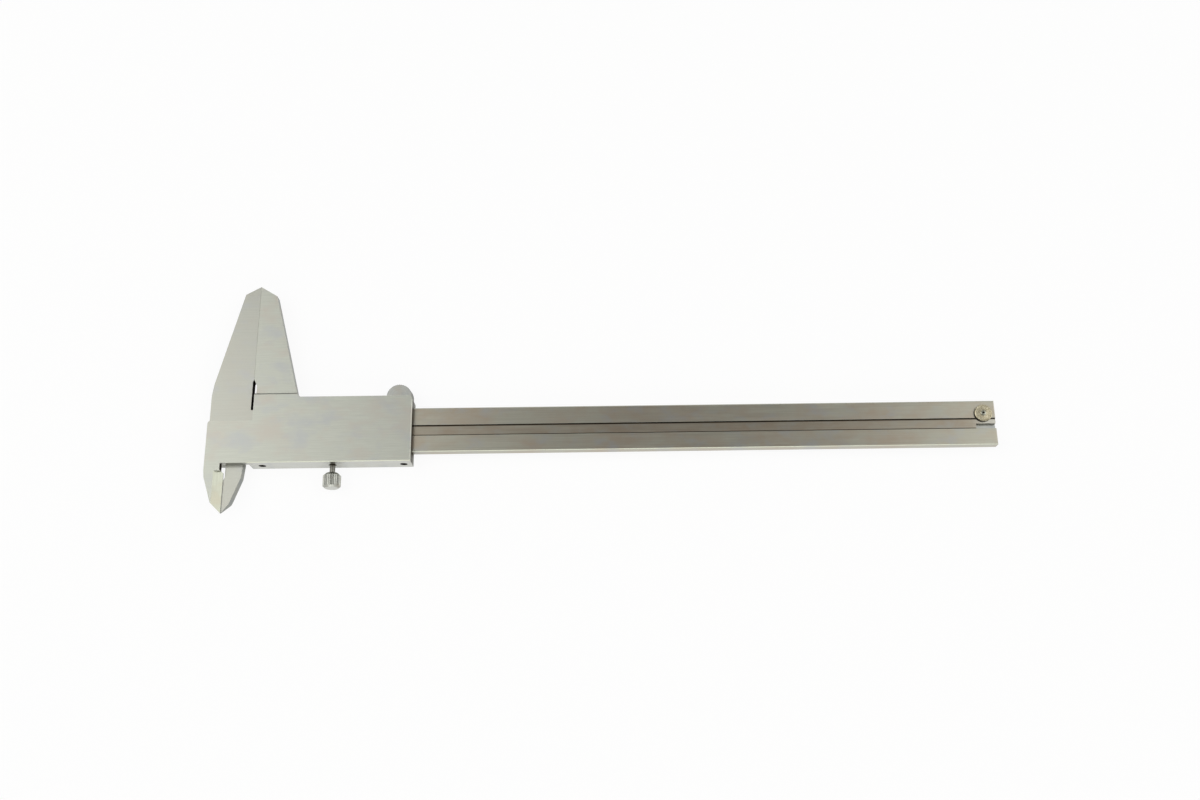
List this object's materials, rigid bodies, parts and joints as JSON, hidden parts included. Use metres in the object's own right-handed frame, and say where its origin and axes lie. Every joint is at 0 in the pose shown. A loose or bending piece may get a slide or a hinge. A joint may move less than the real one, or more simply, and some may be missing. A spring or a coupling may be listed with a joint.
{
  "type": "vernier caliper",
  "caption": "All-metal vernier caliper with outside and inside jaws, sliding jaw with lock screw and thumb roller, and a depth rod in the beam.",
  "frame": {"origin": "centre of the caliper's outline in plan, on the plane of the slider's front face, on which it lies with its jaws closed", "axes": "+X along the beam from the jaws to the free end, +Y towards the outside jaws' tips, +Z from the graduated front towards the plain back"},
  "size_m": [0.2836, 0.0866, 0.0084],
  "materials": {
    "beam_steel": "fine lengthwise grind",
    "slider_steel": "fine satin grind",
    "turned_steel": "turned and knurled",
    "spring_steel": "rolled strip",
    "satin_chrome": "satin",
    "bronze": "satin",
    "scale_fill": "black engraver's wax in the scales' lines and figures"
  },
  "bodies": {
    "beam": {"beam": "beam_steel", "end_stop_rivet": "turned_steel"},
    "slider": {"slider_frame": "slider_steel", "depth_rod": "beam_steel", "depth_rod_pins": "turned_steel", "gib_strip": "bronze", "gib_screw_left": "turned_steel", "gib_screw_right": "turned_steel", "roller_axle": "turned_steel", "roller_arm": "spring_steel", "roller_arm_screw": "turned_steel", "metric_vernier": "satin_chrome", "inch_vernier": "satin_chrome", "metric_vernier_screws": "turned_steel", "inch_vernier_screws": "turned_steel"},
    "roller": {"thumb_roller": "turned_steel", "roller_bush": "bronze"},
    "lock_pad": {"lock_pad": "bronze"},
    "lock_screw": {"lock_screw": "turned_steel"}
  },
  "joints": [
    {"name": "slider_slide", "type": "slide", "parent": "beam", "child": "slider", "axis": [1, 0, 0], "range_m": [0, 0.202]},
    {"name": "roller_spin", "type": "hinge", "parent": "slider", "child": "roller", "pos_m": [-0.07375, -0.00045, 0.003], "axis": [0, 0, 1], "range_deg": [-2530, 10]},
    {"name": "lock_advance", "type": "slide", "parent": "slider", "child": "lock_pad", "axis": [0, 1, 0], "range_m": [-0.0005, 0.00025]},
    {"name": "lock_turn", "type": "hinge", "parent": "lock_pad", "child": "lock_screw", "pos_m": [-0.09685, -0.0315, 0.0038], "axis": [0, 1, 0], "range_deg": [-360, 180]}
  ],
  "couplings": [
    {"joint": "roller_spin", "follows": "slider_slide", "rad_per_m": -217.39},
    {"joint": "lock_turn", "follows": "lock_advance", "rad_per_m": 12566}
  ]
}
